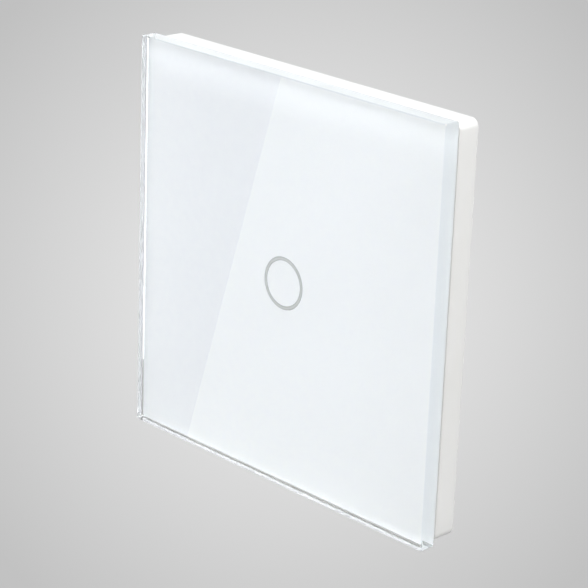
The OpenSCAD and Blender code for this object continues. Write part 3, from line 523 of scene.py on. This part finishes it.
# Panel frame
# A white ABS moulding: a flange behind the glass, stepped back along its front edge as a
# shadow gap, a wall round it, eight small ribs in the angle between them, and four
# fingers that snap onto the cover.
frame_side, frame_front, _ = measured("panel_frame")
frame_corner, frame_round = 1.7, 0.2
frame_wall, flange_thick = 1.8, 1.2
flange_back = frame_front + flange_thick
frame_inner_side = frame_side - 2 * frame_wall
frame_inner_corner, rim_round = 0.5, 0.15
opening_size = (52.2, 63.8)
opening_corner = 2.5
relief_size = (69.3, 9)
notch_half, notch_depth, notch_edge = 4.5, 1.4, 0.01
rib_at, rib_width, rib_length, rib_height, rib_root = 24, 1.2, 3, 2.4, 0.2
finger_at, finger_width = 14, 8
finger_edge, finger_thick = 31.9, 1.2
finger_root, finger_end = flange_back - flange_thick / 2, -1.5
barb_edge, barb_reach, barb_length = 31.1, 0.5, 0.9
barb_front = flange_back + barb_reach
barb_back = barb_front + barb_length


def moulded_plastic(name, light, dark, grain, roughness, depth=0.004, **sockets):
    """Opaque moulding: colour that drifts a little between two tones over 12 mm, and a
    fine spark-eroded grain of a width and depth in millimetres as bump and gloss."""
    drift_width, gloss_spread, grain_strength = 12, 0.06, 0.6
    made, tree, shader, place = finish(name, **sockets)
    drift = add_node(
        tree, "ShaderNodeTexNoise", {"Vector": place, "Scale": 1 / drift_width})
    colour = add_node(
        tree, "ShaderNodeValToRGB", {"Fac": drift.outputs["Fac"]},
        [(0.3, dark), (0.7, light)])
    eroded = add_node(
        tree, "ShaderNodeTexNoise", {"Vector": place, "Scale": 1 / grain, "Detail": 3.0})
    gloss = add_node(
        tree, "ShaderNodeMapRange",
        {"Value": eroded.outputs["Fac"], "To Min": roughness - gloss_spread,
         "To Max": roughness + gloss_spread})
    bump = add_node(
        tree, "ShaderNodeBump",
        {"Height": eroded.outputs["Fac"], "Strength": grain_strength, "Distance": depth * MM})
    tree.links.new(colour.outputs["Color"], shader.inputs["Base Color"])
    tree.links.new(gloss.outputs["Result"], shader.inputs["Roughness"])
    tree.links.new(bump.outputs["Normal"], shader.inputs["Normal"])
    return made


# Moulded ABS: warm white, satin, with a spark-eroded grain drawn 0.5 mm wide.
white_abs = moulded_plastic("moulded_abs", "#F1F1F0", "#EEEEEC", 0.5, 0.5, IOR=1.54)


def rounded_edge(radius, depth, outward):
    """Insets and depths of a quarter circle that takes a side over to a flat face: the
    inset is the radius times 1 - cos, and the depth falls short by the radius times
    1 - sin, in the outward sense of Y."""
    angle = np.radians(np.linspace(0, 90, 5))
    return np.stack([radius * (1 - np.cos(angle)),
                     depth - outward * radius * (1 - np.sin(angle))], axis=-1)


def prism(profile, first, last):
    """Bar whose end faces are one X-Y-Z outline moved by two vectors."""
    return skin(np.stack([profile + first, profile + last]))


def opening_outline():
    """The rounded opening with the relief slot across it, anticlockwise: the opening's
    points outside the slot's height, and the slot's two corners at each side."""
    opening = rounded_outline(*opening_size, opening_corner)
    reach, half = relief_size[0] / 2, relief_size[1] / 2
    side = opening_size[0] / 2
    right = np.array([[side, -half], [reach, -half], [reach, half], [side, half]])
    upper, lower = opening[opening[:, 1] > 0], opening[opening[:, 1] < 0]
    return np.concatenate([right, upper, -right, lower])


wall_outline = rounded_outline(frame_side, frame_side, frame_corner)
pocket_outline = rounded_outline(frame_inner_side, frame_inner_side, frame_inner_corner)
cut_outline = opening_outline()
notch_outline = np.array([[notch_half - notch_edge, -frame_side / 2],
                          [notch_half + notch_edge, -frame_side / 2]])
notch_outline = np.concatenate([notch_outline, notch_outline * [-1, 1]])
frame_angles = outline_angles(wall_outline, pocket_outline, cut_outline, notch_outline)
notched = (np.abs(outline_at(wall_outline, frame_angles)[:, 0]) < notch_half) & (
    np.sin(frame_angles) < 0)


def frame_ring(side, corner, depth):
    """Ring of the frame's wall at the shared angles. Its depth drops to the notch's
    where the ring lies behind the notch's floor."""
    ring = at_depth(outline_at(rounded_outline(side, side, corner), frame_angles), depth)
    ring[:, 1] = np.where(notched, np.minimum(depth, -notch_depth), depth)
    return ring


outer_back = rounded_edge(frame_round, 0, 1)
outer_front = rounded_edge(frame_round, frame_front + gap_depth, -1)
gap_steps = [(gap_width, frame_front + gap_depth), (gap_width, frame_front)]
inner_back = rounded_edge(rim_round, 0, 1)
wall_rings = [at_depth(outline_at(cut_outline, frame_angles), flange_back),
              frame_ring(frame_inner_side, frame_inner_corner, flange_back)]
wall_rings += [frame_ring(frame_inner_side + 2 * inset, frame_inner_corner + inset, depth)
               for inset, depth in inner_back]
wall_rings += [frame_ring(frame_side - 2 * inset, frame_corner - inset, depth)
               for inset, depth in outer_back[::-1]]
wall_rings += [frame_ring(frame_side - 2 * inset, frame_corner - inset, depth)
               for inset, depth in [*outer_front, *gap_steps]]
wall_rings += [at_depth(outline_at(cut_outline, frame_angles), frame_front)]
frame_shells = [skin(np.stack(wall_rings), looped=True)]

pocket = frame_inner_side / 2
rib_profile = np.array([[0, flange_back - rib_root, pocket + rib_root],
                        [0, flange_back + rib_height, pocket + rib_root],
                        [0, flange_back + rib_height, pocket],
                        [0, flange_back, pocket - rib_length],
                        [0, flange_back - rib_root, pocket - rib_length]])
finger_profile = np.array([[0, finger_root, finger_edge], [0, barb_front, finger_edge],
                           [0, barb_front, barb_edge], [0, barb_back, finger_edge],
                           [0, finger_end, finger_edge],
                           [0, finger_end, finger_edge + finger_thick],
                           [0, finger_root, finger_edge + finger_thick]])
quarter_turn = np.array([[0, 0, 1], [0, 1, 0], [-1, 0, 0]])
for side in range(4):
    turn = np.linalg.matrix_power(quarter_turn, side)
    for middle in (-rib_at, rib_at):
        points, faces = prism(rib_profile, [middle - rib_width / 2, 0, 0],
                              [middle + rib_width / 2, 0, 0])
        frame_shells.append((points @ turn.T, faces))
for flip in (1, -1):
    for middle in (-finger_at, finger_at):
        points, faces = prism(finger_profile, [middle - finger_width / 2, 0, 0],
                              [middle + finger_width / 2, 0, 0])
        frame_shells.append((points * [1, 1, flip], faces))
abs_frame = mesh_object("abs_frame", frame_shells, white_abs)
fit(abs_frame, "panel_frame", "panel")


# Mounting yoke
# A square plate pressed from zinc-plated steel sheet. It lies on the wall, is screwed to
# the wall box through its two slots, and carries the module between cover and housing.


def metal(name, light, dark, roughness, streak=(8, 8, 0.6), **sockets):
    """Metal that drifts between two tones, with a gloss and a fine bump that follow
    streaks of a length in millimetres along X, Y and Z."""
    gloss_spread, streak_strength, streak_depth = 0.1, 0.3, 0.004
    made, tree, shader, place = finish(name, Metallic=1.0, **sockets)
    drawn_out = add_node(
        tree, "ShaderNodeMapping", {"Vector": place, "Scale": [1 / size for size in streak]})
    streaks = add_node(
        tree, "ShaderNodeTexNoise",
        {"Vector": drawn_out.outputs["Vector"], "Scale": 1.0, "Detail": 4.0})
    colour = add_node(
        tree, "ShaderNodeValToRGB", {"Fac": streaks.outputs["Fac"]},
        [(0.3, dark), (0.7, light)])
    gloss = add_node(
        tree, "ShaderNodeMapRange",
        {"Value": streaks.outputs["Fac"], "To Min": roughness - gloss_spread,
         "To Max": roughness + gloss_spread})
    bump = add_node(
        tree, "ShaderNodeBump",
        {"Height": streaks.outputs["Fac"], "Strength": streak_strength,
         "Distance": streak_depth * MM})
    tree.links.new(colour.outputs["Color"], shader.inputs["Base Color"])
    tree.links.new(gloss.outputs["Result"], shader.inputs["Roughness"])
    tree.links.new(bump.outputs["Normal"], shader.inputs["Normal"])
    return made


def eased(node, width, material, body):
    """Copy of a CAD node, its triangles merged into flat faces, with its edges eased by
    a small round of a width in millimetres, as pressing and moulding leave them."""
    merge_gap, flat_angle, sharp_angle, eased_angle = 0.0005, 0.5, 30, 40
    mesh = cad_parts[node].data.copy()
    work = bmesh.new()
    work.from_mesh(mesh)
    bmesh.ops.remove_doubles(work, verts=work.verts, dist=merge_gap * MM)
    bmesh.ops.dissolve_limit(
        work, angle_limit=math.radians(flat_angle), verts=work.verts, edges=work.edges)
    work.to_mesh(mesh)
    work.free()
    mesh.shade_smooth()
    mesh.set_sharp_from_angle(angle=math.radians(sharp_angle))
    mesh.materials.clear()
    mesh.materials.append(material)
    made = bpy.data.objects.new(f"eased_{node}", mesh)
    scene.collection.objects.link(made)
    ease = made.modifiers.new("eased_edges", "BEVEL")
    ease.width = width * MM
    ease.segments = 2
    ease.limit_method = "ANGLE"
    ease.angle_limit = math.radians(eased_angle)
    ease.use_clamp_overlap = True
    fit(made, node, body)


# Zinc-plated steel: bluish grey with dull rolling streaks about 8 mm long.
zinc_steel = metal("zinc_plated_steel", "#C6CACD", "#B2B7BB", 0.38)
eased("mounting_yoke", 0.12, zinc_steel, "module")


# Front cover
# A white ABS tray that closes the module in front. The panel's fingers snap over its
# lip, and its posts and bosses hold the touch board and the four screws.
eased("front_cover", 0.12, white_abs, "module")


# Light guide
# A clear acrylic ring, moulded in one piece with its flange and two legs, that carries
# the light of two small lamps to the touch ring.

# Moulded acrylic: water clear, with a faintly frosted skin from the mould, 1 mm wide.
clear_acrylic, tree, shader, place = finish(
    "moulded_acrylic", IOR=1.49, Transmission_Weight=1.0, Base_Color=srgb("#F4F9FB"))
frost_width = 1
frost = add_node(
    tree, "ShaderNodeTexNoise", {"Vector": place, "Scale": 1 / frost_width, "Detail": 2.0})
frosted = add_node(
    tree, "ShaderNodeMapRange",
    {"Value": frost.outputs["Fac"], "To Min": 0.05, "To Max": 0.25})
tree.links.new(frosted.outputs["Result"], shader.inputs["Roughness"])
dress("light_guide", clear_acrylic)


# Touch spring
# A coil of gold-plated spring wire between the touch board and the glass. It carries
# the touch from the print to the board, and is wound cold on a mandrel.
spring_mean, spring_wire = 3.7, 0.6
_, spring_top, spring_foot = measured("touch_spring")
spring_low, spring_high = spring_foot - spring_wire / 2, spring_top + spring_wire / 2
spring_turns = 3
spring_steps, wire_sides = 180, 12


def coil():
    """Tube round a helix: the angle grows with depth, and a ring of wire lies at each
    step in the plane of the radius and the axis. Each end runs on straight by one wire."""
    step = np.linspace(0, 1, spring_steps + 1)
    angle = 2 * np.pi * spring_turns * step
    out = np.stack([np.cos(angle), np.zeros_like(angle), np.sin(angle)], axis=-1)
    way = np.stack([-np.sin(angle), np.zeros_like(angle), np.cos(angle)], axis=-1)
    middle = spring_mean * out
    middle[:, 1] = spring_low + (spring_high - spring_low) * step
    middle = np.concatenate([
        middle[:1] - spring_wire * way[:1], middle, middle[-1:] + spring_wire * way[-1:]])
    out = np.concatenate([out[:1], out, out[-1:]])
    round_wire = np.linspace(0, 2 * np.pi, wire_sides, endpoint=False)[None, :, None]
    ring = np.cos(round_wire) * out[:, None, :] + np.sin(round_wire) * np.array([0, 1, 0])
    return skin(middle[:, None, :] + spring_wire / 2 * ring)


# Gold-plated spring steel: warm, bright, with drawing marks along the wire.
spring_gold = metal("gold_plated_wire", "#E0BE78", "#CFA95C", 0.25, (0.3, 2, 0.3))
spring = mesh_object("coiled_spring", [coil()], spring_gold, 60)
fit(spring, "touch_spring", "module")


# Circuit boards
# Two eight-sided boards of glass-fibre laminate, milled to shape, with green solder mask
# over etched copper. One senses the touch, the other switches and feeds it.

# Solder mask: glossy green film, lighter where copper tracks 0.8 mm wide lie under it. The
# tracks run in nested rectangles about 9 mm wide, as they are routed round the parts.
track_pitch, track_field, track_rise = 1.6, 9, 0.03
track_wave = track_pitch / track_field
track_edge = 0.03
solder_mask, tree, shader, place = finish("solder_mask", IOR=1.55)
face = add_node(
    tree, "ShaderNodeMapping", {"Vector": place, "Rotation": (math.pi / 2, 0, 0)})
fields = add_node(
    tree, "ShaderNodeTexVoronoi",
    {"Vector": face.outputs["Vector"], "Scale": 1 / track_field},
    voronoi_dimensions="2D", distance="CHEBYCHEV")
nested = add_node(
    tree, "ShaderNodeMath", {0: fields.outputs["Distance"], 1: track_wave / 2},
    operation="PINGPONG")
tracks = add_node(
    tree, "ShaderNodeMapRange",
    {"Value": nested.outputs[0], "From Min": track_wave * (1 / 4 - track_edge),
     "From Max": track_wave * (1 / 4 + track_edge)})
green = add_node(
    tree, "ShaderNodeValToRGB", {"Fac": tracks.outputs["Result"]},
    [(0.0, "#1B5E3C"), (1.0, "#2A7A50")])
film = add_node(
    tree, "ShaderNodeMapRange",
    {"Value": tracks.outputs["Result"], "To Min": 0.38, "To Max": 0.28})
raised = add_node(
    tree, "ShaderNodeBump",
    {"Height": tracks.outputs["Result"], "Strength": 0.5, "Distance": track_rise * MM})
tree.links.new(green.outputs["Color"], shader.inputs["Base Color"])
tree.links.new(film.outputs["Result"], shader.inputs["Roughness"])
tree.links.new(raised.outputs["Normal"], shader.inputs["Normal"])
for board in ("touch_board", "power_board"):
    dress(board, solder_mask)


# Small parts of the boards
# Chips in black moulded epoxy, two lamps in clear yellowish resin, fired ceramic
# resistors and capacitors, and a nylon header whose gold-plated pins join the boards.

# Moulded epoxy: near black, dull, with filler grains 0.2 mm wide.
black_epoxy = moulded_plastic("moulded_epoxy", "#202123", "#1A1B1D", 0.2, 0.6, 0.006)
for chip in ("touch_chip", "bridge_rectifier", "converter_chip"):
    dress(chip, black_epoxy)

# Cast resin: clear yellow, glossy, with the phosphor's faint clouds 0.5 mm wide.
led_resin = moulded_plastic(
    "cast_lamp_resin", "#F7EFCF", "#EFE3B4", 0.5, 0.2, 0.002, IOR=1.5, Coat_Weight=0.5)
dress("indicator_leds", led_resin)

# Fired ceramic: tan, fine grained.
chip_ceramic = moulded_plastic("fired_ceramic", "#C8AF8E", "#B59A77", 0.15, 0.45, 0.004)
dress("chip_parts", chip_ceramic)

# Moulded nylon: black, satin.
black_nylon = moulded_plastic("moulded_nylon_black", "#242527", "#1D1E20", 0.3, 0.5)
dress("header_strip", black_nylon)

# Gold plating: bright yellow over drawn brass.
plated_pin = metal("gold_plated_pin", "#E2C077", "#D2AE60", 0.25, (0.3, 3, 0.3))
dress("header_pins", plated_pin)


# Relay
# A power relay soldered to the power board: a coil on a nylon former pulls a hinged iron
# armature, whose bronze blade closes the lamp's circuit inside a black polyester case.

# Moulded polyester: black, slightly glossy.
relay_plastic = moulded_plastic("moulded_polyester", "#222326", "#1B1C1F", 0.4, 0.42)
for case in ("relay_base", "relay_cover"):
    dress(case, relay_plastic)

# Nickel-plated iron: pale grey, stamped, with grinding marks 4 mm long.
relay_iron = metal("nickel_plated_iron", "#B4B6B8", "#A2A4A7", 0.35, (4, 0.4, 4))
for iron in ("relay_yoke", "relay_armature"):
    dress(iron, relay_iron)

# Moulded nylon: natural ivory.
coil_former = moulded_plastic("moulded_nylon_ivory", "#EFEADC", "#E6E0CE", 0.4, 0.5)
dress("relay_bobbin", coil_former)

# Enamelled copper wire: each turn is a round ridge. The wire is 0.1 mm thick and is
# drawn 0.3 mm wide, so that the turns can show. A band of the wave is 0.314 wide at
# scale 1.
winding_pitch, winding_ridge, wave_band = 0.3, 0.08, 0.314
copper_wire, tree, shader, place = finish("enamelled_copper_wire", Metallic=1.0)
turns = add_node(
    tree, "ShaderNodeTexWave",
    {"Vector": place, "Scale": wave_band / winding_pitch, "Distortion": 0.3},
    bands_direction="X", wave_profile="SIN")
# Painted shade: the copper is darker down in the grooves between turns, lighter on their
# crests.
copper_and_groove_shade = add_node(
    tree, "ShaderNodeValToRGB", {"Fac": turns.outputs["Fac"]},
    [(0.0, "#7A3D1E"), (1.0, "#C4743F")])
lacquer = add_node(
    tree, "ShaderNodeMapRange",
    {"Value": turns.outputs["Fac"], "To Min": 0.4, "To Max": 0.25})
ridges = add_node(
    tree, "ShaderNodeBump",
    {"Height": turns.outputs["Fac"], "Strength": 0.8, "Distance": winding_ridge * MM})
tree.links.new(copper_and_groove_shade.outputs["Color"], shader.inputs["Base Color"])
tree.links.new(lacquer.outputs["Result"], shader.inputs["Roughness"])
tree.links.new(ridges.outputs["Normal"], shader.inputs["Normal"])
dress("relay_winding", copper_wire)

# Rolled bronze: brownish gold, satin along the strip.
contact_bronze = metal("rolled_bronze", "#D2A468", "#BD8D50", 0.3, (6, 0.4, 0.4))
for contact in ("relay_blade", "relay_fixed_contact"):
    dress(contact, contact_bronze)

# Tinned copper: dull silver grey.
tinned_pin = metal("tinned_copper", "#C4C5C6", "#B0B2B4", 0.42, (0.4, 3, 0.4))
dress("relay_pins", tinned_pin)


# Mains parts of the power board
# A boxed film capacitor, a sleeved electrolytic capacitor, a dipped varistor, a moulded
# fuse and a wound choke, each soldered through the board by its leads.

# Moulded polyester box: yellow, glossy.
film_case = moulded_plastic("moulded_film_case", "#E2B92E", "#D6AB22", 0.5, 0.3)
dress("film_capacitor", film_case)

# Shrunk sleeve: dark blue film with soft folds 3 mm wide.
capacitor_sleeve = moulded_plastic("shrunk_sleeve", "#1F2C56", "#182347", 3.0, 0.25, 0.05)
dress("bulk_capacitor", capacitor_sleeve)

# Dipped epoxy: blue, glossy, with the slow waves of a dip, 2 mm wide.
varistor_coat = moulded_plastic("dipped_epoxy", "#2F63A6", "#27568F", 2.0, 0.25, 0.06)
dress("varistor", varistor_coat)

# Moulded phenolic: brown, dull.
fuse_case = moulded_plastic("moulded_phenolic", "#6B4630", "#5C3B27", 0.4, 0.5)
dress("fuse", fuse_case)

# Sintered ferrite: charcoal, matt, with pores 0.3 mm wide.
ferrite = moulded_plastic("sintered_ferrite", "#3B3D40", "#2E3033", 0.3, 0.65, 0.02)
dress("choke", ferrite)


# Terminals
# A grey nylon block at the lower back takes the wires from below. In each of its three
# ways a screw draws a brass cage up, which grips the wire against a brass bar.
block_ways = {"live": -7.4, "neutral": 0.0, "load": 7.4}
terminal_height = -18.5
terminal_head, terminal_dome = (4.6, 15.35, 16.75), 0.15
terminal_shank = (3.5, 9.85, 0.6)
terminal_slot = [(0.4, 3.0, 0.0)]
cut_wall, cut_depth = 0.1, 0.8
screw_sides, dome_rings, pitch_steps = 64, 40, 8
# Shares of the head's radius from neck to top edge, and drops below the dome's foot.
head_rim = np.array([[0.55, 1.0, 1.0, 0.985, 0.95], [0, 0, 0.12, 0.05, 0]])
dome_middle, shank_lap = 0.02, 0.2
thread_height, tip_share = 0.27, 0.6

# Moulded nylon: mid grey, satin, with a grain drawn 0.4 mm wide.
grey_nylon = moulded_plastic("moulded_nylon_grey", "#A9AEB2", "#9FA4A8", 0.4, 0.48)
eased("terminal_block", 0.12, grey_nylon, "module")

# Machined brass: yellow, with tool marks 3 mm long.
brass = metal("machined_brass", "#DDB86A", "#C9A253", 0.28, (0.5, 3, 3))
dress("terminal_bars", brass)


def threaded_screw(place, head, shank, cuts, dome):
    """Screw along Y at a place in X and Z. The head is a polar grid from its edge to its
    middle, raised by a shallow dome and sunk where the driver's cut lies; the shank is a
    grid of angle and depth whose radius follows a triangle wave along a helix. A head is
    a diameter, a start and an end, a shank a diameter, a tip and a pitch, and a cut half
    a width, half a length and a turn."""
    head_d, head_from, head_to = head
    shank_d, shank_from, pitch = shank
    angle = np.linspace(0, 2 * np.pi, screw_sides, endpoint=False)
    ring = np.stack([np.cos(angle), np.sin(angle)], axis=-1)
    edge, drop = head_rim
    height = np.where(np.arange(len(drop)) < 2, head_from, head_to - dome - drop)
    sides = [at_depth(reach * ring, depth) for reach, depth in zip(head_d / 2 * edge, height)]
    reach = head_d / 2 * np.linspace(edge[-1], dome_middle, dome_rings)
    grid = reach[:, None, None] * ring[None, :, :]
    swell = head_to - dome * (reach[:, None] / reach[0]) ** 2
    inside = np.full(grid.shape[:2], -np.inf)
    for half, length, turn in cuts:
        along = grid[..., 0] * math.cos(turn) + grid[..., 1] * math.sin(turn)
        across = grid[..., 1] * math.cos(turn) - grid[..., 0] * math.sin(turn)
        inside = np.maximum(inside, np.minimum(half - np.abs(across), length - np.abs(along)))
    sunk = np.clip(inside / cut_wall + 0.5, 0, 1) * cut_depth
    top = np.stack([grid[..., 0], swell - sunk, grid[..., 1]], axis=-1)
    head_skin = skin(np.concatenate([np.stack(sides), top]))
    depth = np.arange(shank_from, head_from + shank_lap, pitch / pitch_steps)[:, None]
    wave = np.abs(((depth / pitch - angle / (2 * np.pi)) % 1) * 2 - 1)
    taper = np.clip((depth - shank_from) / pitch, tip_share, 1)
    radius = shank_d / 2 * taper - thread_height * pitch * wave
    thread = np.stack(
        [radius * ring[:, 0], depth + 0 * radius, radius * ring[:, 1]], axis=-1)
    move = np.array([place[0], 0, place[1]])
    return [(points + move, faces) for points, faces in (head_skin, skin(thread))]


# Zinc-plated steel: bright bluish grey with turning marks 0.15 to 0.4 mm wide.
zinc_screw = metal("zinc_plated_screw", "#CDD1D4", "#BCC1C5", 0.28, (0.4, 0.15, 0.4))
for way, across_x in block_ways.items():
    dress(f"{way}_cage", brass)
    screw = mesh_object(
        f"{way}_slotted_screw",
        threaded_screw((across_x, terminal_height), terminal_head, terminal_shank,
                       terminal_slot, terminal_dome), zinc_screw)
    fit(screw, f"{way}_screw", f"{way}_screw")


# Back housing
# A white polycarbonate cup with eight sides that sits in the wall box and holds both
# boards. Four ears at its rim lie on the yoke.

# Moulded polycarbonate: white, satin, with a spark-eroded grain drawn 0.6 mm wide.
white_pc = moulded_plastic("moulded_polycarbonate", "#EFEEEA", "#EAE9E4", 0.6, 0.45, IOR=1.58)
eased("back_housing", 0.2, white_pc, "module")


# Housing screws
# Four cross-head self-tapping screws go through the ears and the yoke into the bosses
# of the cover and clamp the three together.
housing_screw_at = 18.59
housing_head, housing_dome = (4.2, 2.4, 3.9), 0.35
housing_shank = (2.6, -3.5, 1.0)
cross = [(0.35, 1.3, 0.0), (0.35, 1.3, math.pi / 2)]
housing_shells = []
for side in (-1, 1):
    for level_side in (-1, 1):
        housing_shells += threaded_screw(
            (side * housing_screw_at, level_side * housing_screw_at), housing_head,
            housing_shank, cross, housing_dome)
cross_screws = mesh_object("cross_head_screws", housing_shells, zinc_screw)
fit(cross_screws, "housing_screws", "module")
